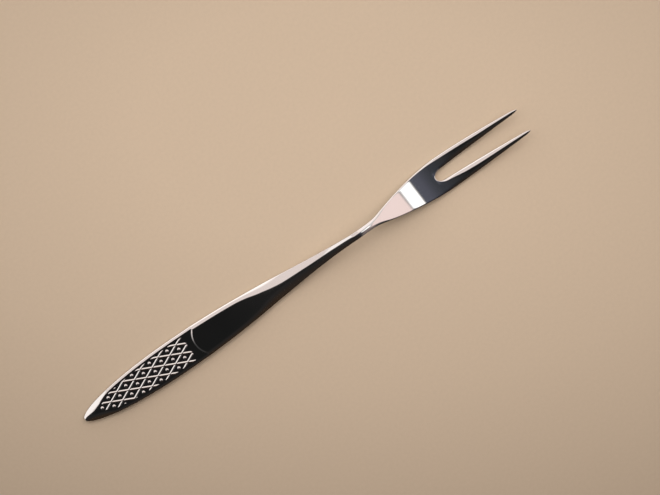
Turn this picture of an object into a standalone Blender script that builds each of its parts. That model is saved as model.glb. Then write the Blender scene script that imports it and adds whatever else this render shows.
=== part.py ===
"""Meat fork with two tines, coined, bent and polished from one blank of stainless steel.

Metres, +Z up. The fork lies on the flat back of its handle along +X, with the handle's end
at -X and the tips at +X. The origin is at the middle of its length, on the surface it rests on.
"""

import math

import bmesh
import bpy
from mathutils import Vector

# Lengths along the fork, from the handle's end to the tips
PANEL_LENGTH = 0.0560  # sunk panel, up to the rounded end of the plain shank
SHANK_LENGTH = 0.0840  # plain shank, up to the narrowest place of the neck
FLARE_LENGTH = 0.0371  # neck and head, up to the root of the slot
TINE_LENGTH = 0.0423  # root of the slot to the tips
POINT_LENGTH = 0.0018  # sharpened end of a tine
NOSE_LENGTH = 0.0060  # handle's end that is rounded off underneath
NOSE_BLUNTNESS = 0.0005  # how far beyond the handle's end its outline would close in a point
WIDEST_AT = 0.0470  # widest place of the handle, from its end
NECK_STRAIGHT = 0.0062  # neck up to where the head flares out
HEAD_WIDEST_BEYOND_ROOT = 0.0039

# Widths, seen from above, and the curves between them
HANDLE_WIDTH = 0.0151
NECK_WIDTH = 0.0032
HEAD_WIDTH = 0.0150
SLOT_WIDTH = 0.0047  # at its round root
TIP_GAP = 0.0089  # between the inner sides of the tines, where they end
TIP_WIDTH = 0.0012  # a tine where it ends, before it is sharpened
POINT_WIDTH = 0.0004
SHANK_TAPER = 1.1  # power of the handle's narrowing towards the neck
FLARE_CURVE = 1.7  # power of the head's widening
TINE_TAPER = 1.6  # power of the tines' outer sides
SLOT_OPENING = 1.1  # power of the slot's widening
FLARE_SOFTNESS = 0.0009  # rounding of the outline's corner at the neck

# Thicknesses along the middle
END_THICKNESS = 0.0013
PANEL_THICKNESS = 0.0024
STEP_HEIGHT = 0.00028  # how far the shank stands above the panel
NECK_THICKNESS = 0.0034
HEAD_THICKNESS = 0.0015
TIP_THICKNESS = 0.0009
POINT_THICKNESS = 0.0003
TINE_THINNING = 1.5  # power of the tines' thinning towards their tips

# Heights of the underside above the table
END_LIFT = 0.0004
NECK_LIFT = 0.0064  # where the rising shank and the falling neck would meet in a corner
TIP_LIFT = 0.0050
BELLY_BEYOND_ROOT = 0.0060  # where the tines touch the table
BEND_BEFORE_NECK = 0.0034  # bend of the side view, ahead of the neck's narrowest place
BEND_SOFTNESS = 0.0016
RISE_CURVE = 4.5  # powers of the shank's rise, the neck's descent and the tines' rise
DESCENT_CURVE = 1.6
TIP_CURVE = 1.8

# Falling rim along the outline of the top: how wide it is, and its slope at the edge
RIM_WIDTH = 0.00125
RIM_SLOPE = 0.87
NOSE_RIM_START = 0.0025  # up to here the rim takes all of the handle's end
NOSE_RIM_GROWTH = 0.0060  # length over which it narrows to the panel's rim
SHANK_RIM_WIDTH = 0.0019
CROWN_BEYOND_STEP = 0.0240  # from here the rim widens until the shank is crowned all over
CROWN_GROWTH = 0.0220
RIDGE_BEYOND_STEP = 0.0320  # from here the crown draws together into a ridge
RIDGE_GROWTH = 0.0200
RIDGE_SLOPE = 0.50
RIDGE_SHARPNESS = 1.65  # power of the ridge's fall
RIM_ROUNDNESS = 2.0  # power of every other rim's fall
HEAD_FLAT_BEYOND_NECK = 0.0180  # from here the head is flat, with a narrow rim
HEAD_RIM_WIDTH = 0.0010
TINE_RIM_WIDTH = 0.0013
TINE_RIM_GROWTH = 0.0080
TINE_RIM_SHARE = 0.37  # the most that the rim takes of a tine's width

# Falling rim round the slot, which starts as a crisp edge at the middle of the root
ROOT_RIM_WIDTH = 0.00015
SLOT_RIM_WIDTH = 0.0010
SLOT_TINE_RIM_WIDTH = 0.0020
SLOT_RIM_GROWTH = 0.0090
SLOT_RIM_SHARE = 0.45
ROOT_RIM_TURN = 1.3  # power of its growth round the root

# Rounding of the underside
BACK_RIM_WIDTH = 0.0056
BACK_RIM_DROP = 0.0006
NECK_BACK_DROP = 0.0012
TINE_BACK_RIM_WIDTH = 0.0008
TINE_BACK_RIM_DROP = 0.00025
BACK_RIM_SHARE = 0.78  # the most that it takes of half the handle's width
TINE_BACK_RIM_SHARE = 0.4  # and of a tine's width
TINE_BACK_DROP_SHARE = 0.2  # and of a tine's thickness

# The shank's rounded end, where it stands above the panel
STEP_RUN = 0.00025  # length of the slope itself
STEP_SAG = 0.0023  # how far the end curves back at the sides
STEP_ROUNDNESS = 2.2
STEP_HOLD = 0.0005  # flat kept on each side of the slope

# Layout of the cage: shares of the top's flat and rims, and how many sections each part has
TOP_FLAT_COLUMNS = (0.0, 0.35, 0.65, 0.85, 1.0)
TOP_RIM_COLUMNS = (0.5, 1.0)
SLOT_RIM_COLUMNS = (0.0, 0.5, 1.0)
ROOT_LEADS = (0.0, 0.18, 0.36)  # how far each slot column runs ahead round the root
ROOT_BACK_LEAD = 0.45
LEAST_FLAT = 0.5  # share of half the width that the flat columns always take
NOSE_SECTIONS = 5
NOSE_CROWDING = 1.6
PANEL_SECTIONS = 12
SHANK_SECTIONS = 12
BEND_SECTIONS = 12
HEAD_SECTIONS = 7
ROOT_SECTIONS = 4
TINE_SECTIONS = 10
POINT_SHARES = (0.5, 0.12, 0.0)

STEEL_COLOR = (0.78, 0.765, 0.75, 1.0)
STEEL_ROUGHNESS = 0.12
MERGE_DISTANCE = 0.00001
SMOOTH_LEVELS = 1

STEP_AT = PANEL_LENGTH
NECK_AT = STEP_AT + SHANK_LENGTH
ROOT_AT = NECK_AT + FLARE_LENGTH
LENGTH = ROOT_AT + TINE_LENGTH
BELLY_AT = ROOT_AT + BELLY_BEYOND_ROOT
BEND_AT = NECK_AT - BEND_BEFORE_NECK
HEAD_FLAT_AT = NECK_AT + HEAD_FLAT_BEYOND_NECK
HEAD_WIDEST_AT = ROOT_AT + HEAD_WIDEST_BEYOND_ROOT
SLOT_RADIUS = SLOT_WIDTH / 2
SLOT_ROUND_END = ROOT_AT + SLOT_RADIUS
QUARTER_TURN = math.pi / 2


def share(x, start, end):
    """How far x has come from start to end, as 0 to 1."""
    return min(1.0, max(0.0, (x - start) / (end - start)))


def mix(a, b, q):
    return a + (b - a) * q


def ease(q):
    return (1 - math.cos(math.pi * q)) / 2


def softer_lower(a, b, softness):
    """The lower of two curves, with the corner where they cross rounded off."""
    near = max(softness - abs(a - b), 0) / softness
    return min(a, b) - near**2 * softness / 4


def half_width(x):
    """Outline of the handle, neck and head, and the outer side of the tines."""
    if x <= WIDEST_AT:
        to_widest = (WIDEST_AT - x) / (WIDEST_AT + NOSE_BLUNTNESS)
        return HANDLE_WIDTH / 2 * math.sqrt(1 - to_widest**2)
    if x <= HEAD_WIDEST_AT:
        narrowing = ease(share(x, WIDEST_AT, NECK_AT) ** SHANK_TAPER)
        shank = mix(HANDLE_WIDTH, NECK_WIDTH, narrowing) / 2
        flare_start = NECK_AT + NECK_STRAIGHT
        to_go = (HEAD_WIDEST_AT - x) / (HEAD_WIDEST_AT - flare_start)
        flare = mix(NECK_WIDTH, HEAD_WIDTH, 1 - to_go**FLARE_CURVE) / 2
        return -softer_lower(-shank, -flare, FLARE_SOFTNESS)
    taper = share(x, HEAD_WIDEST_AT, LENGTH) ** TINE_TAPER
    return mix(HEAD_WIDTH / 2, TIP_GAP / 2 + TIP_WIDTH, taper)


def half_gap(x):
    """Inner side of the tines, beyond the round root of the slot."""
    return mix(SLOT_WIDTH, TIP_GAP, share(x, SLOT_ROUND_END, LENGTH) ** SLOT_OPENING) / 2


def near_point(x):
    return share(x, LENGTH - POINT_LENGTH, LENGTH)


def tine_sides(x):
    """Inner and outer side of a tine, closing to its point."""
    inner, outer = half_gap(x), half_width(x)
    reach = mix(outer - inner, POINT_WIDTH, near_point(x)) / 2
    return (inner + outer) / 2 - reach, (inner + outer) / 2 + reach


def lift(x):
    """Height of the underside: flat handle, arched neck, belly under the head, tines rising."""
    if x <= NOSE_LENGTH:
        return END_LIFT * (1 - x / NOSE_LENGTH) ** 2
    if x <= BELLY_AT:
        rise = NECK_LIFT * max(0, (x - STEP_AT) / (BEND_AT - STEP_AT)) ** RISE_CURVE
        descent = NECK_LIFT * ((BELLY_AT - x) / (BELLY_AT - BEND_AT)) ** DESCENT_CURVE
        return max(0, softer_lower(rise, descent, BEND_SOFTNESS))
    return TIP_LIFT * share(x, BELLY_AT, LENGTH) ** TIP_CURVE


def thickness(x):
    """Thickness along the middle. The shank starts a step above the panel."""
    if x <= NOSE_LENGTH:
        return mix(PANEL_THICKNESS, END_THICKNESS, (1 - x / NOSE_LENGTH) ** 2)
    if x <= STEP_AT:
        return PANEL_THICKNESS
    if x <= NECK_AT:
        return mix(PANEL_THICKNESS + STEP_HEIGHT, NECK_THICKNESS, ease(share(x, STEP_AT, NECK_AT)))
    if x <= ROOT_AT:
        return mix(NECK_THICKNESS, HEAD_THICKNESS, ease(share(x, NECK_AT, ROOT_AT)))
    return mix(HEAD_THICKNESS, TIP_THICKNESS, share(x, ROOT_AT, LENGTH) ** TINE_THINNING)


def outer_rim(x):
    """Width, edge slope and power of the rim along the outline.

    It is narrow on the panel, meets in a ridge on the neck, and is narrow again on the head.
    """
    half = half_width(x)
    if x <= STEP_AT:
        panel = ease(share(x, NOSE_RIM_START, NOSE_RIM_START + NOSE_RIM_GROWTH))
        return mix(half, min(RIM_WIDTH, half), panel), RIM_SLOPE, RIM_ROUNDNESS
    if x <= BEND_AT:
        crown_start = STEP_AT + CROWN_BEYOND_STEP
        ridge_start = STEP_AT + RIDGE_BEYOND_STEP
        crown = ease(share(x, crown_start, crown_start + CROWN_GROWTH))
        ridge = ease(share(x, ridge_start, ridge_start + RIDGE_GROWTH))
        width = mix(min(SHANK_RIM_WIDTH, half), half, crown)
        return width, mix(RIM_SLOPE, RIDGE_SLOPE, ridge), mix(RIM_ROUNDNESS, RIDGE_SHARPNESS, ridge)
    tine = ease(share(x, ROOT_AT - TINE_RIM_GROWTH, ROOT_AT + TINE_RIM_GROWTH))
    width = min(mix(HEAD_RIM_WIDTH, TINE_RIM_WIDTH, tine), half)
    head = ease(share(x, BEND_AT, HEAD_FLAT_AT))
    slope, power = mix(RIDGE_SLOPE, RIM_SLOPE, head), mix(RIDGE_SHARPNESS, RIM_ROUNDNESS, head)
    return mix(half, width, head), slope, power


def slot_rim_width(x, y):
    """Width of the rim round the slot, by the angle on its round root and the distance along it."""
    if x < SLOT_ROUND_END:
        turn = math.atan2(y, SLOT_ROUND_END - x) / QUARTER_TURN
        return mix(ROOT_RIM_WIDTH, SLOT_RIM_WIDTH, turn**ROOT_RIM_TURN)
    along = ease(share(x, SLOT_ROUND_END, SLOT_ROUND_END + SLOT_RIM_GROWTH))
    return mix(SLOT_RIM_WIDTH, SLOT_TINE_RIM_WIDTH, along)


def fall(distance, width, slope, power=RIM_ROUNDNESS):
    """How far a rim of this width has fallen at a distance from its edge, where it has this slope."""
    return slope * width / power * (1 - share(distance, 0, width)) ** power


def tine_rims(x):
    """Width of the inner and outer rim of a tine, as far as its own width leaves room for them."""
    inner, outer = tine_sides(x)
    whole = outer - inner
    return min(slot_rim_width(x, inner), whole * SLOT_RIM_SHARE), min(outer_rim(x)[0], whole * TINE_RIM_SHARE)


def top_height(x, y):
    """Height of the top at a place on the handle, the head or a tine."""
    z = lift(x) + thickness(x)
    width, slope, power = outer_rim(x)
    outer = half_width(x)
    if x > SLOT_ROUND_END:
        inner, outer = tine_sides(x)
        slot_width, width = tine_rims(x)
        z -= fall(y - inner, slot_width, RIM_SLOPE)
    elif x > ROOT_AT - SLOT_RIM_WIDTH:
        distance = math.hypot(x - SLOT_ROUND_END, y) - SLOT_RADIUS
        z -= fall(distance, slot_rim_width(x, y), RIM_SLOPE)
    return z - fall(outer - y, width, slope, power)


def back_rim(x):
    """Width and drop of the rounding underneath."""
    half = half_width(x)
    if x <= NECK_AT:
        width = min(BACK_RIM_WIDTH, half * BACK_RIM_SHARE)
        neck = ease(share(x, STEP_AT, NECK_AT))
        thin = min(1, thickness(x) / PANEL_THICKNESS)
        return mix(width, half, neck), mix(BACK_RIM_DROP * thin, NECK_BACK_DROP, neck)
    head = ease(share(x, NECK_AT, HEAD_FLAT_AT))
    width = min(TINE_BACK_RIM_WIDTH, half)
    return mix(half, width, head), mix(NECK_BACK_DROP, TINE_BACK_RIM_DROP, head)


def back_point(x, across, bottom, edges, width, drop):
    """Point underneath, with the rounding along each of the edges."""
    risen = sum(fall(abs(across - edge), width, RIM_ROUNDNESS * drop / width) for edge in edges)
    return Vector((x, across, bottom + risen))


def solid_ring(x, curl=0.0):
    """Half section of the handle, neck or head, from the middle of the top to the middle of the back.

    curl sweeps the sides of the section towards the neck, for the rounded end of the shank.
    """
    half = half_width(x)
    flat = max(half - outer_rim(x)[0], half * LEAST_FLAT)
    across_top = [flat * q for q in TOP_FLAT_COLUMNS]
    across_top += [mix(flat, half, q) for q in TOP_RIM_COLUMNS]
    near_root = ease(share(x, HEAD_FLAT_AT, ROOT_AT))
    ring = []
    for across, (_, root_across) in zip(across_top, tine_places(ROOT_AT, 0.0)):
        across = mix(across, root_across * half / half_width(ROOT_AT), near_root)
        swept = curl * min(across / flat, 1) ** STEP_ROUNDNESS
        ring.append(Vector((x + swept, across, top_height(x, across))))
    width, drop = back_rim(x)
    back_flat = max(half - width, half * LEAST_FLAT)
    for across in (half, back_flat, back_flat / 2, 0):
        point = back_point(x, across, lift(x), (half,), width, drop)
        point.x += curl * share(across, back_flat, half) / 2
        ring.append(point)
    return ring


def root_point(angle, radius):
    """Point on a circle round the end of the slot, at an angle from the root's middle."""
    return SLOT_ROUND_END - radius * math.cos(angle), radius * math.sin(angle)


def tine_places(x, root_turn):
    """Places of a tine's section on the top, from its inner edge outwards.

    root_turn below 1 puts the inner ones round the slot's root, from 0 at its middle.
    """
    inner, outer = tine_sides(x)
    slot_width, width = tine_rims(x)
    places = [(x, inner + slot_width * q) for q in SLOT_RIM_COLUMNS]
    if root_turn < 1:
        rim = mix(ROOT_RIM_WIDTH, slot_width, root_turn)
        places = [
            root_point(QUARTER_TURN * mix(root_turn, 1, lead), SLOT_RADIUS + rim * q)
            for lead, q in zip(ROOT_LEADS, SLOT_RIM_COLUMNS)
        ]
    places.append((x, (places[-1][1] + outer - width) / 2))
    return places + [(x, outer - width * q) for q in reversed(SLOT_RIM_COLUMNS)]


def tine_ring(x, root_turn=1.0):
    """Whole section of a tine, from the inner edge of the top outwards and back underneath."""
    inner, outer = tine_sides(x)
    ring = [Vector((*place, top_height(*place))) for place in tine_places(x, root_turn)]
    thick = mix(thickness(x), POINT_THICKNESS, near_point(x))
    bottom = lift(x) + thickness(x) - thick
    width, drop = back_rim(x)
    width, drop = min(width, (outer - inner) * TINE_BACK_RIM_SHARE), min(drop, thick * TINE_BACK_DROP_SHARE)
    across_back = (outer, outer - width, inner + width, inner)
    back = [back_point(x, across, bottom, (inner, outer), width, drop) for across in across_back]
    if root_turn < 1:
        back[2].xy = root_point(QUARTER_TURN * mix(root_turn, 1, ROOT_BACK_LEAD), SLOT_RADIUS + width)
        back[3].xy = root_point(QUARTER_TURN * root_turn, SLOT_RADIUS)
    return ring + back


def spread(start, end, count):
    """Evenly placed stations after start, up to end."""
    return [mix(start, end, (i + 1) / count) for i in range(count)]


def panel_rings():
    """Handle's end and sunk panel, closer together where the end is round."""
    last = STEP_AT - STEP_RUN / 2 - STEP_HOLD
    stations = [NOSE_LENGTH * (i / NOSE_SECTIONS) ** NOSE_CROWDING for i in range(NOSE_SECTIONS + 1)]
    stations += spread(NOSE_LENGTH, last - STEP_SAG, PANEL_SECTIONS)
    rings = [solid_ring(x) for x in stations]
    return rings + [solid_ring(x, curl=STEP_SAG) for x in (last, last + STEP_HOLD)]


def shank_rings():
    """Plain shank, from its rounded end above the panel through the bend in the neck."""
    start = STEP_AT + STEP_RUN / 2
    rings = [solid_ring(x, curl=STEP_SAG) for x in (start, start + STEP_HOLD)]
    bend_start = NECK_AT - NECK_STRAIGHT
    stations = spread(start + STEP_HOLD + STEP_SAG, bend_start, SHANK_SECTIONS)
    stations += spread(bend_start, NECK_AT + 2 * NECK_STRAIGHT, BEND_SECTIONS)
    return rings + [solid_ring(x) for x in stations]


def head_rings():
    """Flaring head, up to the flat behind the root of the slot."""
    last = ROOT_AT - ROOT_RIM_WIDTH
    stations = spread(NECK_AT + 2 * NECK_STRAIGHT, last - SLOT_RIM_WIDTH, HEAD_SECTIONS)
    return [solid_ring(x) for x in stations + [last]]


def tine_rings():
    """Round root of the slot, then the tine and its sharpened end."""
    turns = [i / ROOT_SECTIONS for i in range(ROOT_SECTIONS)]
    rings = [tine_ring(root_point(QUARTER_TURN * turn, SLOT_RADIUS)[0], turn) for turn in turns]
    stations = [SLOT_ROUND_END] + spread(SLOT_ROUND_END, LENGTH - POINT_LENGTH, TINE_SECTIONS)
    stations += [LENGTH - POINT_LENGTH * q for q in POINT_SHARES]
    return rings + [tine_ring(x) for x in stations]


def steel():
    material = bpy.data.materials.new("polished_steel")
    material.use_nodes = True
    shader = material.node_tree.nodes["Principled BSDF"]
    shader.inputs["Base Color"].default_value = STEEL_COLOR
    shader.inputs["Metallic"].default_value = 1.0
    shader.inputs["Roughness"].default_value = STEEL_ROUGHNESS
    return material


def loft(mesh_data, rings, first_tine_ring):
    """Skins half of the fork over its rings, with the slot's wall from the first tine ring on."""
    cage = bmesh.new()
    middle = Vector((LENGTH / 2, 0, 0))
    rows = [[cage.verts.new(point - middle) for point in ring] for ring in rings]
    for i, (row, onward) in enumerate(zip(rows, rows[1:])):
        columns = len(row) if i >= first_tine_ring else len(row) - 1
        for k in range(columns):
            beside = (k + 1) % len(row)
            cage.faces.new((row[k], onward[k], onward[beside], row[beside]))
    cage.faces.new(rows[0])
    cage.faces.new(reversed(rows[-1]))
    cage.to_mesh(mesh_data)
    cage.free()


def meat_fork():
    """The fork: one half as a coarse cage, mirrored across its middle and subdivided."""
    solid_part = panel_rings() + shank_rings() + head_rings()
    mesh_data = bpy.data.meshes.new("meat_fork")
    loft(mesh_data, solid_part + tine_rings(), first_tine_ring=len(solid_part))
    fork = bpy.data.objects.new("meat_fork", mesh_data)
    mesh_data.materials.append(steel())
    mirror = fork.modifiers.new("two_halves", "MIRROR")
    mirror.use_axis = (False, True, False)
    mirror.merge_threshold = MERGE_DISTANCE
    smooth = fork.modifiers.new("smooth", "SUBSURF")
    smooth.levels = SMOOTH_LEVELS
    smooth.render_levels = SMOOTH_LEVELS
    mesh_data.shade_smooth()
    return fork


def main():
    for old in list(bpy.data.objects):
        bpy.data.objects.remove(old, do_unlink=True)
    parts = bpy.data.collections.new("meat_fork")
    bpy.context.scene.collection.children.link(parts)
    parts.objects.link(meat_fork())


main()
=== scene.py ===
"""A polished two-tined meat fork lying on a plain table, seen from nearly straight above."""

import math

import bpy
import numpy as np
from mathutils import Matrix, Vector


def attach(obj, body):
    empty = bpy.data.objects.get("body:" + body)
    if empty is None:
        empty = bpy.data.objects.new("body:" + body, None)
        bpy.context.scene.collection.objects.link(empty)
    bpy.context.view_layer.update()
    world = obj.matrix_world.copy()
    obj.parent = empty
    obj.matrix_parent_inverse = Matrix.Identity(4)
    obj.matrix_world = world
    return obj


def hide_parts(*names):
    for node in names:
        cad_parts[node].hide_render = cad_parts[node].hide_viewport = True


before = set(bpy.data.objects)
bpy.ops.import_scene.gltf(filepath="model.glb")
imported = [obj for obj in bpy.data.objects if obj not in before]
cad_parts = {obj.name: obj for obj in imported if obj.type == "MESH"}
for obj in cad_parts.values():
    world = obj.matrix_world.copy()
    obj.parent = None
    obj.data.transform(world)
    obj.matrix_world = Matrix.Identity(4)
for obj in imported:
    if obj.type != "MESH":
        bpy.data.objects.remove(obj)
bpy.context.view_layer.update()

# Lengths along the fork, in metres
PANEL_LENGTH = 0.0564
SHANK_LENGTH = 0.0840
FLARE_LENGTH = 0.0366
TINE_LENGTH = 0.0428
POINT_LENGTH = 0.0018
NOSE_LENGTH = 0.0060
NOSE_BLUNTNESS = 0.0004
NECK_STRAIGHT = 0.0062

# Places along the fork, from the handle's end or from the place in the name
WIDEST_AT = 0.0474
BEND_BEFORE_NECK = 0.0034
HEAD_FLAT_BEYOND_NECK = 0.0150
HEAD_WIDEST_BEYOND_ROOT = 0.0039
BELLY_BEYOND_ROOT = 0.0060

# Widths, seen from above, and how far the slot's root is stretched from round to oval
HANDLE_WIDTH = 0.0151
NECK_WIDTH = 0.0032
HEAD_WIDTH = 0.0150
SLOT_WIDTH = 0.0048
ROOT_STRETCH = 1.5
TIP_GAP = 0.0089
TIP_WIDTH = 0.0012
POINT_WIDTH = 0.0004

# Curves of the outline, as exponents, and the rounding where the flare starts
SHANK_TAPER = 1.15
FLARE_CURVE = 1.7
TINE_TAPER = 1.6
SLOT_OPENING = 1.1
FLARE_SOFTNESS = 0.0009

# Thicknesses along the middle, and how the tines thin out
END_THICKNESS = 0.0013
PANEL_THICKNESS = 0.0024
STEP_HEIGHT = 0.00028
NECK_THICKNESS = 0.0034
HEAD_THICKNESS = 0.0015
TIP_THICKNESS = 0.0009
POINT_THICKNESS = 0.0003
TINE_THINNING = 1.5

# Heights of the underside above the table, and how it curves between them
END_LIFT = 0.0004
NECK_LIFT = 0.0064
TIP_LIFT = 0.0050
RISE_CURVE = 4.5
DESCENT_CURVE = 1.6
TIP_CURVE = 1.8
BEND_SOFTNESS = 0.0016

# Falling rim along the outline of the top: its widths, slope at the edge and sharpness
RIM_WIDTH = 0.00125
RIM_SLOPE = 0.87
RIM_SHARPNESS = 2
NOSE_RIM_START = 0.0025
NOSE_RIM_END = 0.0150
SHANK_RIM_WIDTH = 0.0019
HEAD_RIM_WIDTH = 0.0005
TINE_RIM_WIDTH = 0.0013
TINE_RIM_GROWTH = 0.0080
TINE_RIM_SHARE = 0.37

# Ridge of the shank, where the rims of both sides grow together
CROWN_START = 0.0804
CROWN_END = 0.1024
RIDGE_START = 0.0884
RIDGE_END = 0.1084
RIDGE_SLOPE = 0.50
RIDGE_SHARPNESS = 1.65

# Falling rim round the slot, which starts as a crisp edge at the middle of the root
ROOT_RIM_WIDTH = 0.00015
SLOT_RIM_WIDTH = 0.0010
SLOT_TINE_RIM_WIDTH = 0.0018
SLOT_RIM_GROWTH = 0.0090
SLOT_RIM_SHARE = 0.45
ROOT_RIM_TURN = 1.3
SLOT_CREASE = 0.35

# Fine break of the edges, at most a share of the width, and the bulge of the sides
EDGE_WIDTH = 0.00020
EDGE_SLOPE = 0.60
EDGE_SHARE = 0.1
SIDE_BULGE = 0.00005

# Rounding of the underside: widths and drops, and the shares that they may take
BACK_RIM_WIDTH = 0.0056
BACK_RIM_SHARE = 0.78
BACK_RIM_DROP = 0.0006
NECK_BACK_DROP = 0.0012
TINE_BACK_RIM_WIDTH = 0.0008
TINE_BACK_RIM_SHARE = 0.4
TINE_BACK_RIM_DROP = 0.00025
TINE_BACK_DROP_SHARE = 0.2

# The shank's rounded end above the panel, and how much of its sweep the side and back follow
STEP_RUN = 0.00042
STEP_SAG = 0.0023
STEP_ROUNDNESS = 2.2
STEP_SIDE_SHARE = 0.75
STEP_BACK_SHARE = 0.5

# Close sections that keep the foot and the top of that step crisp, as shares of a length
STEP_HOLD = 0.0005
STEP_FOOT_SECTIONS = (0, 0.6, 1)
STEP_TOP_SECTIONS = (0, 0.4, 1)

# Numbers of sections along the fork, and shares of the point that are left at its own ones
NOSE_SECTIONS = 8
NOSE_CROWDING = 1.6
PANEL_SECTIONS = 25
SHANK_SECTIONS = 18
NECK_SECTIONS = 18
HEAD_SECTIONS = 9
ROOT_SECTIONS = 7
TINE_SECTIONS = 13
POINT_SECTIONS = (0.6, 0.25, 0.06, 0)

# Columns of the wrapped sheet, as shares of the flat top, its rim, a tine's flat and the edge
TOP_FLAT_COLUMNS = (0, 0.25, 0.45, 0.62, 0.76, 0.88, 1.0)
TOP_RIM_COLUMNS = (0.35, 0.7, 1.0)
TINE_FLAT_COLUMNS = (0.25, 0.5, 0.75)
EDGE_COLUMN = 0.4
LEAST_FLAT_SHARE = 0.5

# How far columns of the slot's rim run ahead of its edge round the root, above and underneath
ROOT_LEADS = (0, 0.11, 0.22, 0.36)
BACK_ROOT_LEAD = 0.45

# Finish of the skin: where the halves are joined, and how often it is smoothed
MERGE_DISTANCE = 0.00001
SKIN_LEVELS = 2

# Coined ornament of the panel: a trellis of ridges with a bead in each diamond
ORNAMENT_START = 0.0069
ORNAMENT_END = 0.0534
ORNAMENT_MARGIN = 0.0005
DIAMOND_LENGTH = 0.0090
DIAMOND_WIDTH = 0.0043
TRELLIS_WIDTH = 0.0010
BEAD_WIDTH = 0.0018
RELIEF_HEIGHT = 0.00026
ORNAMENT_CUTS = 2
FACING_UP = 0.8
OUTLINE_SAMPLES = 200

# Steel: a polish under a thin veil of haze
STEEL_COLOR = (0.64, 0.625, 0.61, 1.0)
POLISH_ROUGHNESS = 0.03
VEIL_ROUGHNESS = 0.42

# Share of the haze in the steel's shine, by the share of the fork's length
HAZE_ALONG = (
    (0.0, 0.010),
    (0.33, 0.010),
    (0.42, 0.045),
    (0.62, 0.045),
    (0.72, 0.010),
    (0.80, 0.030),
    (1.0, 0.050),
)

# Clouds that thin the haze, and hairline scratches that thicken it
CLOUD_SCALE = 160
CLOUD_DETAIL = 3
CLOUD_HAZE = ((0.30, 0.65), (0.70, 1.0))
HAIRLINE_TURN = 0.7
HAIRLINE_SCALE = (120, 5200, 400)
HAIRLINE_DETAIL = 1
HAIRLINE_CUT = ((0.66, 0.0), (0.74, 1.0))
HAIRLINE_HAZE = 0.5

# Camera: nearly straight above, turned so that the fork lies from lower left to upper right
MILLIMETRES_A_PIXEL = 0.4130
IMAGE_WIDTH_PIXELS = 660
SENSOR_WIDTH = 36
CAMERA_DISTANCE = 0.75
CAMERA_LEAN = math.radians(7.2)
FORK_TURN = math.radians(34.70)
VIEW_CENTRE = (0.0152, 0.00126)

# Soft lamp over the top of the picture
TOWARDS_LIGHT = Vector((math.sin(FORK_TURN), math.cos(FORK_TURN), 0))
LAMP_WIDTH = 1.4
LAMP_DEPTH = 1.0
LAMP_POWER = 3.1
LAMP_COLOR = (1.0, 0.96, 0.92)
LAMP_ASIDE = 0.25
LAMP_HEIGHT = 0.75

# Table paper: its colour, its shade by the distance from the brightest place, and its grain
TABLE_SIZE = 6
TABLE_GAP = 0.0001
TABLE_COLOR = (0.672, 0.557, 0.414, 1.0)
TABLE_ROUGHNESS = 0.9
TABLE_SHINE = 0.2
TABLE_BRIGHTEST_UP = 0.05
TABLE_FALLOFF = 0.20
TABLE_STRETCH = 1.55
TABLE_SHADE = ((0.0, 1.0), (0.25, 0.98), (0.55, 0.86), (1.0, 0.60))
GRAIN_SCALE = 700
GRAIN_DETAIL = 4
GRAIN_SHADE = ((0.25, 0.96), (0.75, 1.0))

# Strongest light of the room. Its tables give a lean of the direction, and a grey or a colour
BRIGHTEST = 2.0

# Light by the lean along the fork: dark behind, dim blue ahead, then a bright tent
ALONG_LIGHT = (
    (-0.60, 0.030),
    (-0.25, (0.012, 0.013, 0.013)),
    (-0.09, (0.012, 0.013, 0.013)),
    (-0.05, (0.024, 0.025, 0.027)),
    (0.02, (0.040, 0.041, 0.045)),
    (0.12, (0.050, 0.055, 0.068)),
    (0.17, (0.064, 0.070, 0.086)),
    (0.25, (0.115, 0.121, 0.158)),
    (0.30, (0.125, 0.132, 0.172)),
    (0.36, (0.125, 0.130, 0.160)),
    (0.3860, (0.42, 0.38, 0.38)),
    (0.3890, (1.32, 1.075, 1.03)),
    (0.80, (1.32, 1.10, 1.06)),
)

# Share of that light by the lean across, fading on the dark side
ALONG_LIGHT_ACROSS = (
    (-0.95, (0.05, 0.035, 0.025)),
    (-0.86, (0.15, 0.14, 0.135)),
    (-0.75, 0.19),
    (-0.58, 0.22),
    (-0.45, 0.33),
    (-0.32, 0.48),
    (-0.25, 0.62),
    (-0.20, 0.78),
    (-0.12, 1.0),
)

# Light by the lean across the fork: dark on one side, a bright window on the other
ACROSS_LIGHT = (
    (-0.96, (0.042, 0.025, 0.015)),
    (-0.80, (0.036, 0.026, 0.020)),
    (-0.60, (0.028, 0.024, 0.022)),
    (-0.35, (0.026, 0.025, 0.025)),
    (-0.12, 0.012),
    (0.12, 0.020),
    (0.22, (0.080, 0.075, 0.072)),
    (0.255, (1.14, 1.00, 0.96)),
    (0.80, (1.10, 0.97, 0.93)),
    (0.88, (1.70, 1.56, 1.50)),
    (0.96, (2.00, 1.88, 1.82)),
)

# White panel that the head mirrors: its limits along, its strength across, and a gap beside it
PANEL_FROM = ((0.3115, 0.0), (0.3145, 2.0))
PANEL_TO = ((0.3885, 1.0), (0.3915, 0.0))
PANEL_ACROSS = (
    (-0.60, 0.04),
    (-0.35, 0.05),
    (-0.25, 0.10),
    (-0.20, 0.25),
    (-0.15, 1.0),
    (-0.088, 1.0),
    (-0.03, (0.40, 0.39, 0.38)),
    (0.15, (0.36, 0.35, 0.34)),
    (0.28, (0.50, 0.49, 0.48)),
    (0.42, (0.68, 0.66, 0.65)),
    (0.70, (0.70, 0.68, 0.67)),
)
PANEL_GAP = (
    (0.3865, 1.0),
    (0.3885, (0.78, 0.79, 0.79)),
    (0.3925, (0.78, 0.79, 0.79)),
    (0.3945, 1.0),
)

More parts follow.
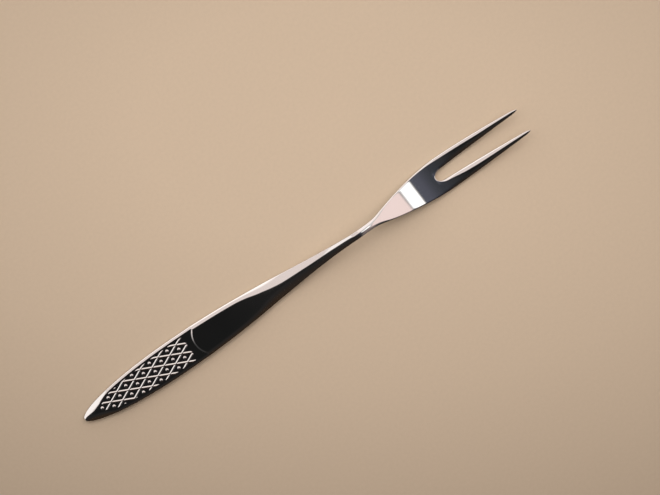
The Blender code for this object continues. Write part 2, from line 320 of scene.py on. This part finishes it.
# Bright field behind the handle's end, which its rim mirrors
HANDLE_LIGHT_ALONG = ((-0.8, 0.1), (-0.7, 1.0), (-0.42, 1.0), (-0.32, 0.0))
HANDLE_LIGHT_ACROSS = ((0.24, 0.0), (0.28, (1.45, 1.36, 1.33)), (0.90, (1.50, 1.42, 1.38)))

# Field further back, which the step above the panel mirrors
STEP_LIGHT_ALONG = ((-0.66, 1.0), (-0.58, 0.0))
STEP_LIGHT_ACROSS = (
    (-0.40, 0.05),
    (-0.10, 0.08),
    (0.0, (0.20, 0.19, 0.19)),
    (0.22, (0.75, 0.70, 0.69)),
    (0.32, (1.30, 1.20, 1.18)),
    (0.50, (1.40, 1.30, 1.28)),
)

# Field to the side, which the head's lit edge mirrors
HEAD_EDGE_LIGHT_ALONG = ((0.05, 0.0), (0.12, 1.0))
HEAD_EDGE_LIGHT_ACROSS = ((0.30, 0.0), (0.44, (1.48, 1.32, 1.24)))

# Slant of the fields: how far one lean is shifted, by the other lean
RIM_TURN = (
    (-0.75, 0.17),
    (-0.6, 0.085),
    (-0.45, 0.07),
    (-0.3, 0.028),
    (-0.2, 0.012),
    (-0.113, 0.0),
    (-0.098, -0.011),
    (0.0, -0.011),
    (0.3, 0.05),
)
PANEL_WIDENING = ((-0.16, 0.03), (-0.105, 0.0), (-0.06, -0.01), (0.0, -0.032), (0.10, -0.08))
STEEP_TURN = ((-0.64, 0.0), (-0.58, -0.12), (-0.45, -0.10), (-0.33, -0.01), (-0.25, 0.0))

STEP_AT = PANEL_LENGTH
NECK_AT = STEP_AT + SHANK_LENGTH
ROOT_AT = NECK_AT + FLARE_LENGTH
LENGTH = ROOT_AT + TINE_LENGTH
POINT_AT = LENGTH - POINT_LENGTH
BELLY_AT = ROOT_AT + BELLY_BEYOND_ROOT
BEND_AT = NECK_AT - BEND_BEFORE_NECK
BEND_END = NECK_AT + 2 * NECK_STRAIGHT
HEAD_FLAT_AT = NECK_AT + HEAD_FLAT_BEYOND_NECK
HEAD_WIDEST_AT = ROOT_AT + HEAD_WIDEST_BEYOND_ROOT
SLOT_RADIUS = SLOT_WIDTH / 2
SLOT_ROUND_END = ROOT_AT + SLOT_RADIUS * ROOT_STRETCH


def share(x, start, end):
    """How far x has come from start to end, as 0 to 1."""
    return min(1.0, max(0.0, (x - start) / (end - start)))


def mix(a, b, q):
    """The value at a share q of the way from a to b."""
    return a + (b - a) * q


def ease(q):
    """A share that starts and ends slowly."""
    return (1 - math.cos(math.pi * q)) / 2


def softer_lower(a, b, softness):
    """The lower of two curves, with the corner where they cross rounded off."""
    near = max(softness - abs(a - b), 0) / softness
    return min(a, b) - near**2 * softness / 4


def half_width(x):
    """Outline of the handle, neck and head, and the outer side of the tines."""
    if x <= WIDEST_AT:
        to_widest = (WIDEST_AT - x) / (WIDEST_AT + NOSE_BLUNTNESS)
        return HANDLE_WIDTH / 2 * math.sqrt(1 - to_widest**2)
    if x <= HEAD_WIDEST_AT:
        narrowing = ease(share(x, WIDEST_AT, NECK_AT) ** SHANK_TAPER)
        shank = mix(HANDLE_WIDTH, NECK_WIDTH, narrowing) / 2
        flare_start = NECK_AT + NECK_STRAIGHT
        to_go = (HEAD_WIDEST_AT - x) / (HEAD_WIDEST_AT - flare_start)
        flare = mix(NECK_WIDTH, HEAD_WIDTH, 1 - to_go**FLARE_CURVE) / 2
        return -softer_lower(-shank, -flare, FLARE_SOFTNESS)
    taper = share(x, HEAD_WIDEST_AT, LENGTH) ** TINE_TAPER
    return mix(HEAD_WIDTH / 2, TIP_GAP / 2 + TIP_WIDTH, taper)


def half_gap(x):
    """Inner side of the tines, beyond the round root of the slot."""
    return mix(SLOT_WIDTH, TIP_GAP, share(x, SLOT_ROUND_END, LENGTH) ** SLOT_OPENING) / 2


def tine_sides(x):
    """Inner and outer side of a tine, closing to its point."""
    inner, outer = half_gap(x), half_width(x)
    reach = mix(outer - inner, POINT_WIDTH, share(x, POINT_AT, LENGTH)) / 2
    return (inner + outer) / 2 - reach, (inner + outer) / 2 + reach


def lift(x):
    """Height of the underside: flat handle, arched neck, belly under the head, tines rising."""
    if x <= NOSE_LENGTH:
        return END_LIFT * (1 - x / NOSE_LENGTH) ** 2
    if x <= BELLY_AT:
        rise = NECK_LIFT * max(0, (x - STEP_AT) / (BEND_AT - STEP_AT)) ** RISE_CURVE
        descent = NECK_LIFT * ((BELLY_AT - x) / (BELLY_AT - BEND_AT)) ** DESCENT_CURVE
        return softer_lower(rise, descent, BEND_SOFTNESS)
    return TIP_LIFT * share(x, BELLY_AT, LENGTH) ** TIP_CURVE


def thickness(x):
    """Thickness along the middle. The shank starts a step above the panel."""
    if x <= NOSE_LENGTH:
        return mix(PANEL_THICKNESS, END_THICKNESS, (1 - x / NOSE_LENGTH) ** 2)
    if x <= STEP_AT:
        return PANEL_THICKNESS
    if x <= NECK_AT:
        above_panel = PANEL_THICKNESS + STEP_HEIGHT
        return mix(above_panel, NECK_THICKNESS, ease(share(x, STEP_AT, NECK_AT)))
    if x <= ROOT_AT:
        return mix(NECK_THICKNESS, HEAD_THICKNESS, ease(share(x, NECK_AT, ROOT_AT)))
    return mix(HEAD_THICKNESS, TIP_THICKNESS, share(x, ROOT_AT, LENGTH) ** TINE_THINNING)


def outer_rim(x):
    """Width, edge slope and sharpness of the rim along the outline.

    It is narrow on the panel, meets in a ridge on the neck, and is narrow again on the head.
    """
    half = half_width(x)
    if x <= STEP_AT:
        width = mix(half, RIM_WIDTH, ease(share(x, NOSE_RIM_START, NOSE_RIM_END)))
        return width, RIM_SLOPE, RIM_SHARPNESS
    if x <= BEND_AT:
        width = mix(SHANK_RIM_WIDTH, half, ease(share(x, CROWN_START, CROWN_END)))
        flat_to_ridge = ease(share(x, RIDGE_START, RIDGE_END))
    else:
        tine = ease(share(x, ROOT_AT - TINE_RIM_GROWTH, ROOT_AT + TINE_RIM_GROWTH))
        width = min(mix(HEAD_RIM_WIDTH, TINE_RIM_WIDTH, tine), half)
        head = ease(share(x, BEND_AT, HEAD_FLAT_AT))
        width = mix(half, width, head)
        flat_to_ridge = 1 - head
    slope = mix(RIM_SLOPE, RIDGE_SLOPE, flat_to_ridge)
    return width, slope, mix(RIM_SHARPNESS, RIDGE_SHARPNESS, flat_to_ridge)


def slot_rim_width(x, y):
    """Width of the rim round the slot, by the turn round its root and the distance along it."""
    if x < SLOT_ROUND_END:
        turn = math.atan2(y, (SLOT_ROUND_END - x) / ROOT_STRETCH) / (math.pi / 2)
        return mix(ROOT_RIM_WIDTH, SLOT_RIM_WIDTH, turn**ROOT_RIM_TURN)
    along = ease(share(x, SLOT_ROUND_END, SLOT_ROUND_END + SLOT_RIM_GROWTH))
    return mix(SLOT_RIM_WIDTH, SLOT_TINE_RIM_WIDTH, along)


def edge_width(whole):
    """Width of the fine break of an edge, on a section of this width."""
    return min(EDGE_WIDTH, whole * EDGE_SHARE)


def fall(distance, width, slope, sharpness=RIM_SHARPNESS):
    """How far a rim has fallen at a distance from its edge, where it has this slope."""
    return slope * width / sharpness * (1 - share(distance, 0, width)) ** sharpness


def distance_from_root(x, y):
    """Distance from the oval root of the slot."""
    along = (x - SLOT_ROUND_END) / ROOT_STRETCH
    radius = math.hypot(along, y)
    return (radius - SLOT_RADIUS) * radius / math.hypot(along / ROOT_STRETCH, y)


def tine_rims(x):
    """Width of the inner and outer rim of a tine, as far as its own width leaves room for them."""
    inner, outer = tine_sides(x)
    inner_rim = min(slot_rim_width(x, inner), (outer - inner) * SLOT_RIM_SHARE)
    return inner_rim, min(outer_rim(x)[0], (outer - inner) * TINE_RIM_SHARE)


def top_height(x, y):
    """Height of the top at a place on the handle, the head or a tine."""
    z = lift(x) + thickness(x)
    width, slope, sharpness = outer_rim(x)
    outer = half_width(x)
    edge = edge_width(outer)
    if x > SLOT_ROUND_END:
        inner, outer = tine_sides(x)
        slot_width, width = tine_rims(x)
        edge = edge_width(outer - inner)
        z -= fall(y - inner, slot_width, RIM_SLOPE) + fall(y - inner, edge, EDGE_SLOPE)
    elif x > ROOT_AT - SLOT_RIM_WIDTH:
        z -= fall(distance_from_root(x, y), slot_rim_width(x, y), RIM_SLOPE)
    return z - fall(outer - y, width, slope, sharpness) - fall(outer - y, edge, EDGE_SLOPE)


def back_rim(x):
    """Width and drop of the rounding underneath."""
    half = half_width(x)
    if x <= NECK_AT:
        neck = ease(share(x, STEP_AT, NECK_AT))
        thin = min(1, thickness(x) / PANEL_THICKNESS)
        width = mix(min(BACK_RIM_WIDTH, half * BACK_RIM_SHARE), half, neck)
        return width, mix(BACK_RIM_DROP * thin, NECK_BACK_DROP, neck)
    head = ease(share(x, NECK_AT, HEAD_FLAT_AT))
    width = mix(half, min(TINE_BACK_RIM_WIDTH, half), head)
    return width, mix(NECK_BACK_DROP, TINE_BACK_RIM_DROP, head)


def back_of_ring(x, outer, inner, bottom, width, drop, columns):
    """Points underneath, from the outer edge inwards, with both edges of a tine rounded."""
    slope = RIM_SHARPNESS * drop / width
    points = []
    for across in columns:
        risen = fall(outer - across, width, slope)
        if inner > 0:
            risen += fall(across - inner, width, slope)
        points.append(Vector((x, across, bottom + risen)))
    return points


def solid_ring(x, curl=0.0):
    """Half section of the handle, neck or head, from the middle of the top round to the back's.

    curl sweeps the sides of the section towards the neck, for the rounded end of the shank.
    """
    half = half_width(x)
    edge = edge_width(half)
    flat = max(half - outer_rim(x)[0], half * LEAST_FLAT_SHARE)
    across_top = [flat * q for q in TOP_FLAT_COLUMNS]
    across_top += [mix(flat, half - edge, q) for q in TOP_RIM_COLUMNS]
    across_top += [half - edge * EDGE_COLUMN, half]
    near_root = ease(share(x, HEAD_FLAT_AT, ROOT_AT))
    across_top = [
        mix(across, place[1] * half / half_width(ROOT_AT), near_root)
        for across, place in zip(across_top, tine_places(ROOT_AT, 0.0))
    ]
    ring = []
    for across in across_top:
        swept = curl * min(across / flat, 1) ** STEP_ROUNDNESS
        ring.append(Vector((x + swept, across, top_height(x, across))))
    back_width, back_drop = back_rim(x)
    bottom = lift(x)
    side_height = (ring[-1].z + bottom + back_drop) / 2
    ring.append(Vector((x + curl * STEP_SIDE_SHARE, half + SIDE_BULGE, side_height)))
    back_flat = max(half - back_width, half * LEAST_FLAT_SHARE)
    columns = (half, (half + back_flat) / 2, back_flat, back_flat / 2, 0)
    back = back_of_ring(x, half, 0, bottom, back_width, back_drop, columns)
    for point in back:
        point.x += curl * STEP_BACK_SHARE * share(point.y, back_flat, half)
    return ring + back


def root_point(angle, radius):
    """Point on an oval round the end of the slot, at an angle from the root's middle."""
    along = radius + SLOT_RADIUS * (ROOT_STRETCH - 1)
    return SLOT_ROUND_END - along * math.cos(angle), radius * math.sin(angle)


def tine_places(x, root_turn):
    """Places of a tine's section on the top, from its inner edge outwards.

    root_turn below 1 puts the inner ones round the slot's root, from 0 at its middle.
    """
    inner, outer = tine_sides(x)
    slot_width, width = tine_rims(x)
    edge = edge_width(outer - inner)
    from_inner = (0, edge, mix(edge, slot_width, 0.5), slot_width)
    places = [(x, inner + distance) for distance in from_inner]
    if root_turn < 1:
        angle = math.radians(90 * root_turn)
        grown = mix(ROOT_RIM_WIDTH, slot_width, root_turn) / slot_width
        places = [
            root_point(mix(angle, math.pi / 2, lead), SLOT_RADIUS + distance * grown)
            for lead, distance in zip(ROOT_LEADS, from_inner)
        ]
    places += [(x, mix(places[-1][1], outer - width, q)) for q in TINE_FLAT_COLUMNS]
    from_outer = (width, mix(edge, width, 0.5), edge, edge * EDGE_COLUMN, 0)
    return places + [(x, outer - distance) for distance in from_outer]


def tine_ring(x, root_turn=1.0):
    """Whole section of a tine, from the inner edge of the top outwards and back underneath."""
    inner, outer = tine_sides(x)
    ring = [Vector((*place, top_height(*place))) for place in tine_places(x, root_turn)]
    point = share(x, POINT_AT, LENGTH)
    bottom = lift(x) + (thickness(x) - POINT_THICKNESS) * point
    back_width, back_drop = back_rim(x)
    back_width = min(back_width, (outer - inner) * TINE_BACK_RIM_SHARE)
    left = mix(thickness(x), POINT_THICKNESS, point)
    back_drop = min(back_drop, left * TINE_BACK_DROP_SHARE)
    ring.append(Vector((x, outer + SIDE_BULGE, (ring[-1].z + bottom + back_drop) / 2)))
    columns = (outer, outer - back_width / 2, outer - back_width, inner + back_width, inner)
    back = back_of_ring(x, outer, inner, bottom, back_width, back_drop, columns)
    if root_turn < 1:
        angle = math.radians(90 * root_turn)
        led = mix(angle, math.pi / 2, BACK_ROOT_LEAD)
        back[-2].xy = root_point(led, SLOT_RADIUS + back_width)
        back[-1].xy = root_point(angle, SLOT_RADIUS)
    return ring + back


def spread(start, end, count):
    """Evenly placed stations after start, up to end."""
    return [mix(start, end, (i + 1) / count) for i in range(count)]


def panel_rings():
    """Handle's end and sunk panel, closer together where the end is round."""
    foot = STEP_AT - STEP_RUN / 2 - STEP_HOLD
    stations = [NOSE_LENGTH * (i / NOSE_SECTIONS) ** NOSE_CROWDING for i in range(NOSE_SECTIONS)]
    stations += [NOSE_LENGTH] + spread(NOSE_LENGTH, foot - STEP_SAG, PANEL_SECTIONS)
    rings = [solid_ring(x) for x in stations]
    return rings + [solid_ring(foot + STEP_HOLD * q, STEP_SAG) for q in STEP_FOOT_SECTIONS]


def shank_rings():
    """Plain shank, from its rounded end above the panel through the bend in the neck."""
    top = STEP_AT + STEP_RUN / 2
    rings = [solid_ring(top + STEP_HOLD * q, STEP_SAG) for q in STEP_TOP_SECTIONS]
    bend_start = NECK_AT - NECK_STRAIGHT
    stations = spread(top + STEP_HOLD + STEP_SAG, bend_start, SHANK_SECTIONS)
    stations += spread(bend_start, BEND_END, NECK_SECTIONS)
    return rings + [solid_ring(x) for x in stations]


def head_rings():
    """Flaring head, up to the flat behind the root of the slot."""
    last = ROOT_AT - ROOT_RIM_WIDTH
    stations = spread(BEND_END, last - SLOT_RIM_WIDTH, HEAD_SECTIONS)
    return [solid_ring(x) for x in stations + [last]]


def tine_rings():
    """Round root of the slot, then the tine and its sharpened end."""
    rings = []
    for i in range(ROOT_SECTIONS):
        turn = i / ROOT_SECTIONS
        rings.append(tine_ring(root_point(math.radians(90 * turn), SLOT_RADIUS)[0], turn))
    stations = [SLOT_ROUND_END] + spread(SLOT_ROUND_END, POINT_AT, TINE_SECTIONS)
    stations += [LENGTH - POINT_LENGTH * q for q in POINT_SECTIONS]
    return rings + [tine_ring(x) for x in stations]


def select_only(piece):
    """Deselects all else, and makes the piece the active one."""
    bpy.ops.object.select_all(action="DESELECT")
    piece.select_set(True)
    bpy.context.view_layer.objects.active = piece


def apply_modifier(piece, name, kind, **settings):
    """Adds a modifier with these settings and applies it."""
    modifier = piece.modifiers.new(name, kind)
    for setting, value in settings.items():
        setattr(modifier, setting, value)
    select_only(piece)
    bpy.ops.object.modifier_apply(modifier=name)


def edit_selected_vertices(piece, chosen, step):
    """Selects vertices by their index in the wrapped sheet and runs an edit-mode operator."""
    select_only(piece)
    bpy.ops.object.mode_set(mode="EDIT")
    bpy.ops.mesh.select_mode(type="VERT")
    bpy.ops.mesh.select_all(action="DESELECT")
    bpy.ops.object.mode_set(mode="OBJECT")
    for index in chosen:
        piece.data.vertices[index].select = True
    bpy.ops.object.mode_set(mode="EDIT")
    step()
    bpy.ops.object.mode_set(mode="OBJECT")


def crease_slot_edge():
    """Keeps the selected edge of the slot crisp when the skin is smoothed."""
    bpy.ops.transform.edge_crease(value=SLOT_CREASE)


def wrapped_half():
    """Half of the fork: a flat grid wrapped round its sections, closed at its ends and the slot."""
    solid_part = panel_rings() + shank_rings() + head_rings()
    rings = solid_part + tine_rings()
    last_station, last_column = len(rings) - 1, len(rings[0]) - 1
    bpy.ops.object.select_all(action="DESELECT")
    bpy.ops.mesh.primitive_grid_add(x_subdivisions=last_station, y_subdivisions=last_column, size=1)
    half = bpy.context.object
    half.name = "meat_fork_polished"
    place = {}
    for vertex in half.data.vertices:
        station = round((vertex.co.x + 0.5) * last_station)
        column = round((vertex.co.y + 0.5) * last_column)
        place[station, column] = vertex.index
        vertex.co = rings[station][column] - Vector((LENGTH / 2, 0, 0))
    first_tine = len(solid_part)
    handle_end = [place[0, k] for k in range(last_column + 1)]
    tip = [place[last_station, k] for k in range(last_column + 1)]
    edit_selected_vertices(half, handle_end, bpy.ops.mesh.edge_face_add)
    for i in range(first_tine, last_station):
        wall = [place[i + j, k] for j in (0, 1) for k in (0, last_column)]
        edit_selected_vertices(half, wall, bpy.ops.mesh.edge_face_add)
    edit_selected_vertices(half, tip, bpy.ops.mesh.edge_face_add)
    for k in (0, last_column):
        slot_edge = [place[i, k] for i in range(first_tine, last_station + 1)]
        edit_selected_vertices(half, slot_edge, crease_slot_edge)
    return half


def rounded(distance, width):
    """Profile of a ridge or bead of this width: 1 at its middle, 0 beyond its edge."""
    return 0.5 + 0.5 * np.cos(np.pi * np.clip(distance / (width / 2), 0, 1))


def relief(x, y):
    """Height of the coined trellis and beads at places on the panel, as numpy arrays."""
    along, across = x / DIAMOND_LENGTH, y / DIAMOND_WIDTH
    left, right = along + across + 0.5, along - across + 0.5
    off_left, off_right = left - np.round(left), right - np.round(right)
    spacing = 1 / math.hypot(1 / DIAMOND_LENGTH, 1 / DIAMOND_WIDTH)
    from_line = np.minimum(abs(off_left), abs(off_right)) * spacing
    in_left, in_right = left - np.floor(left) - 0.5, right - np.floor(right) - 0.5
    bead_along = (in_left + in_right) / 2 * DIAMOND_LENGTH
    bead_across = (in_left - in_right) / 2 * DIAMOND_WIDTH
    bead = rounded(np.hypot(bead_along, bead_across), BEAD_WIDTH)
    return RELIEF_HEIGHT * np.maximum(rounded(from_line, TRELLIS_WIDTH), bead)


def coin_panel(fork):
    """Cuts the panel's flat ground finer and raises the ornament from it."""
    flat_at = np.linspace(0, STEP_AT, OUTLINE_SAMPLES)
    flat_half = [half_width(x) - outer_rim(x)[0] - ORNAMENT_MARGIN for x in flat_at]
    mesh = fork.data
    for face in mesh.polygons:
        x = face.center.x + LENGTH / 2
        on_panel = ORNAMENT_START < x < ORNAMENT_END and face.normal.z > FACING_UP
        reach = float(np.interp(x, flat_at, flat_half)) + ORNAMENT_MARGIN
        face.select = on_panel and abs(face.center.y) < reach
    for part in (mesh.vertices, mesh.edges):
        part.foreach_set("select", [False] * len(part))
    select_only(fork)
    bpy.ops.object.mode_set(mode="EDIT")
    bpy.ops.mesh.select_mode(type="FACE")
    bpy.ops.mesh.subdivide(number_cuts=ORNAMENT_CUTS)
    bpy.ops.object.mode_set(mode="OBJECT")
    points = np.zeros(len(mesh.vertices) * 3)
    mesh.vertices.foreach_get("co", points)
    points = points.reshape(-1, 3)
    x, y, z = points[:, 0] + LENGTH / 2, points[:, 1], points[:, 2]
    inside = np.minimum(x - ORNAMENT_START, ORNAMENT_END - x)
    inside = np.minimum(inside, np.interp(x, flat_at, flat_half) - abs(y))
    fade = np.clip(inside / ORNAMENT_MARGIN, 0, 1)
    fade = fade * fade * (3 - 2 * fade) * (z > PANEL_THICKNESS / 2)
    points[:, 2] += relief(x, y) * fade
    mesh.vertices.foreach_set("co", points.ravel())
    mesh.update()


def add_node(tree, kind, inputs=(), **settings):
    """Adds a node. Each input gets a fixed value, or a link from another node's output."""
    node = tree.nodes.new(kind)
    for setting, value in settings.items():
        setattr(node, setting, value)
    for name, value in dict(inputs).items():
        if isinstance(value, bpy.types.NodeSocket):
            tree.links.new(value, node.inputs[name])
        else:
            node.inputs[name].default_value = value
    return node


def calculate(tree, operation, *values):
    """Result of one operation on values, links or both."""
    node = add_node(tree, "ShaderNodeMath", enumerate(values), operation=operation)
    return node.outputs["Value"]


def ramp(tree, value, steps, whole=1.0):
    """Colour by a value, in steps of a place and a grey or a colour, as shares of the whole."""
    node = add_node(tree, "ShaderNodeValToRGB", {"Fac": value})
    stops = node.color_ramp.elements
    stops.remove(stops[1])
    for i, (place, color) in enumerate(steps):
        red, green, blue = color if isinstance(color, tuple) else (color, color, color)
        stop = stops[0] if i == 0 else stops.new(place)
        stop.position = place
        stop.color = (red / whole, green / whole, blue / whole, 1)
    return node.outputs["Color"]


def blend(tree, kind, a, b):
    """Two colours blended in full. The second may be a fixed colour."""
    inputs = {"Factor": 1, "A": a, "B": b}
    node = add_node(tree, "ShaderNodeMix", inputs, data_type="RGBA", blend_type=kind)
    return node.outputs["Result"]


def noise(tree, place, scale, detail):
    """Soft random pattern over places."""
    inputs = {"Vector": place, "Scale": scale, "Detail": detail}
    return add_node(tree, "ShaderNodeTexNoise", inputs).outputs["Fac"]


def polished_steel():
    """Mirror polish with a faint haze and hairline scratches, more on the shank and the head."""
    material = bpy.data.materials.new("polished_steel")
    material.use_nodes = True
    tree = material.node_tree
    place = add_node(tree, "ShaderNodeTexCoord").outputs["Object"]
    along = add_node(tree, "ShaderNodeSeparateXYZ", {"Vector": place}).outputs["X"]
    worn = ramp(tree, calculate(tree, "MULTIPLY_ADD", along, 1 / LENGTH, 0.5), HAZE_ALONG)
    patchy = ramp(tree, noise(tree, place, CLOUD_SCALE, CLOUD_DETAIL), CLOUD_HAZE)
    drawn_out = {"Vector": place, "Rotation": (0, 0, HAIRLINE_TURN), "Scale": HAIRLINE_SCALE}
    hairline_place = add_node(tree, "ShaderNodeMapping", drawn_out).outputs["Vector"]
    scratched = ramp(tree, noise(tree, hairline_place, 1, HAIRLINE_DETAIL), HAIRLINE_CUT)
    thicker = calculate(tree, "MULTIPLY_ADD", scratched, HAIRLINE_HAZE, 1)
    haze = calculate(tree, "MULTIPLY", calculate(tree, "MULTIPLY", worn, patchy), thicker)

    polish = tree.nodes["Principled BSDF"]
    veil = add_node(tree, "ShaderNodeBsdfPrincipled")
    for shader, roughness in ((polish, POLISH_ROUGHNESS), (veil, VEIL_ROUGHNESS)):
        shader.inputs["Metallic"].default_value = 1
        shader.inputs["Base Color"].default_value = STEEL_COLOR
        shader.inputs["Roughness"].default_value = roughness
    shares = enumerate((haze, polish.outputs["BSDF"], veil.outputs["BSDF"]))
    both = add_node(tree, "ShaderNodeMixShader", shares)
    tree.links.new(both.outputs["Shader"], tree.nodes["Material Output"].inputs["Surface"])
    return material


def meat_fork():
    """The whole fork in one skin: wrapped half, mirrored, smoothed and coined."""
    fork = wrapped_half()
    sides = (False, True, False)
    apply_modifier(fork, "two_halves", "MIRROR", use_axis=sides, merge_threshold=MERGE_DISTANCE)
    apply_modifier(fork, "smooth_skin", "SUBSURF", levels=SKIN_LEVELS, render_levels=SKIN_LEVELS)
    coin_panel(fork)
    fork.data.materials.clear()
    fork.data.materials.append(polished_steel())
    select_only(fork)
    bpy.ops.object.shade_smooth()
    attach(fork, "root")
    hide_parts("meat_fork")


def table_paper():
    """Matt paper that darkens away from the light, with a faint grain."""
    material = bpy.data.materials.new("table_paper")
    material.use_nodes = True
    tree = material.node_tree
    place = add_node(tree, "ShaderNodeTexCoord").outputs["Object"]
    oval = {
        "Vector": place,
        "Location": Vector((*VIEW_CENTRE, 0)) + TOWARDS_LIGHT * TABLE_BRIGHTEST_UP,
        "Rotation": (0, 0, -FORK_TURN),
        "Scale": (TABLE_STRETCH * TABLE_FALLOFF, TABLE_FALLOFF, 1),
    }
    away = add_node(tree, "ShaderNodeMapping", oval, vector_type="TEXTURE").outputs["Vector"]
    distance = add_node(tree, "ShaderNodeVectorMath", {0: away}, operation="LENGTH")
    falloff = ramp(tree, distance.outputs["Value"], TABLE_SHADE)
    mottle = ramp(tree, noise(tree, place, GRAIN_SCALE, GRAIN_DETAIL), GRAIN_SHADE)
    color = blend(tree, "MULTIPLY", blend(tree, "MULTIPLY", falloff, mottle), TABLE_COLOR)
    shader = tree.nodes["Principled BSDF"]
    shader.inputs["Roughness"].default_value = TABLE_ROUGHNESS
    shader.inputs["Specular IOR Level"].default_value = TABLE_SHINE
    tree.links.new(color, shader.inputs["Base Color"])
    return material


def table_top():
    """Plain table just under the fork."""
    bpy.ops.object.select_all(action="DESELECT")
    bpy.ops.mesh.primitive_plane_add(size=TABLE_SIZE, location=(0, 0, -TABLE_GAP))
    table = bpy.context.object
    table.name = "table_top"
    table.data.materials.append(table_paper())


def room():
    """World: a dark room with the bright fields that the steel mirrors."""
    world = bpy.data.worlds.new("room")
    bpy.context.scene.world = world
    world.use_nodes = True
    tree = world.node_tree
    direction = add_node(tree, "ShaderNodeTexCoord").outputs["Generated"]

    def leaning(axis):
        """How far the direction leans along an axis, with -1 to 1 told as 0 to 1."""
        inputs = {0: direction, 1: axis}
        lean = add_node(tree, "ShaderNodeVectorMath", inputs, operation="DOT_PRODUCT")
        return calculate(tree, "MULTIPLY_ADD", lean.outputs["Value"], 0.5, 0.5)

    def light_by(lean, steps, whole=1.0):
        """Light in steps of a lean."""
        return ramp(tree, lean, [((leans + 1) / 2, light) for leans, light in steps], whole)

    def shifted(lean, other, steps):
        """One lean, shifted by steps of the other. A ramp can't go below 0, so it is raised."""
        raised = light_by(other, [(leans, (shift + 1) / 2) for leans, shift in steps])
        return calculate(tree, "SUBTRACT", calculate(tree, "ADD", lean, raised), 0.5)

    along, across = leaning((1, 0, 0)), leaning((0, 1, 0))
    on_rim = shifted(along, across, RIM_TURN)
    beside_panel = shifted(along, across, PANEL_WIDENING)
    on_steep = shifted(across, along, STEEP_TURN)
    fields = (
        ((on_rim, ALONG_LIGHT), (across, ALONG_LIGHT_ACROSS), (beside_panel, PANEL_GAP)),
        ((on_steep, ACROSS_LIGHT),),
        ((on_rim, PANEL_FROM), (beside_panel, PANEL_TO), (across, PANEL_ACROSS)),
        ((on_steep, HANDLE_LIGHT_ACROSS), (along, HANDLE_LIGHT_ALONG)),
        ((across, STEP_LIGHT_ACROSS), (along, STEP_LIGHT_ALONG)),
        ((across, HEAD_EDGE_LIGHT_ACROSS), (along, HEAD_EDGE_LIGHT_ALONG)),
    )
    light = None
    for (lean, steps), *limits in fields:
        field = light_by(lean, steps, BRIGHTEST)
        for limit_lean, limit_steps in limits:
            field = blend(tree, "MULTIPLY", field, light_by(limit_lean, limit_steps))
        light = blend(tree, "LIGHTEN", light, field) if light else field
    background = tree.nodes["Background"]
    background.inputs["Strength"].default_value = BRIGHTEST
    tree.links.new(light, background.inputs["Color"])


def window_light():
    """Large soft lamp at the top of the picture."""
    lamp = bpy.data.lights.new("window_light", "AREA")
    lamp.shape = "RECTANGLE"
    lamp.size = LAMP_WIDTH
    lamp.size_y = LAMP_DEPTH
    lamp.energy = LAMP_POWER
    lamp.color = LAMP_COLOR
    holder = bpy.data.objects.new("window_light", lamp)
    bpy.context.scene.collection.objects.link(holder)
    holder.location = TOWARDS_LIGHT * LAMP_ASIDE + Vector((0, 0, LAMP_HEIGHT))
    holder.visible_glossy = False
    holder.rotation_euler = (-holder.location).to_track_quat("-Z", "Y").to_euler()


def camera():
    """Camera over the fork, leaning a little towards the lamp."""
    lens = bpy.data.cameras.new("camera")
    lens.sensor_width = SENSOR_WIDTH
    frame_width = MILLIMETRES_A_PIXEL * IMAGE_WIDTH_PIXELS / 1000
    lens.lens = lens.sensor_width * CAMERA_DISTANCE / frame_width
    holder = bpy.data.objects.new("camera", lens)
    bpy.context.scene.collection.objects.link(holder)
    lean = TOWARDS_LIGHT * math.sin(CAMERA_LEAN) + Vector((0, 0, math.cos(CAMERA_LEAN)))
    holder.location = Vector((*VIEW_CENTRE, 0)) + lean * CAMERA_DISTANCE
    holder.rotation_euler = (-CAMERA_LEAN, 0, -FORK_TURN)
    bpy.context.scene.camera = holder


meat_fork()
table_top()
room()
window_light()
camera()
bpy.context.scene.view_settings.view_transform = "Standard"
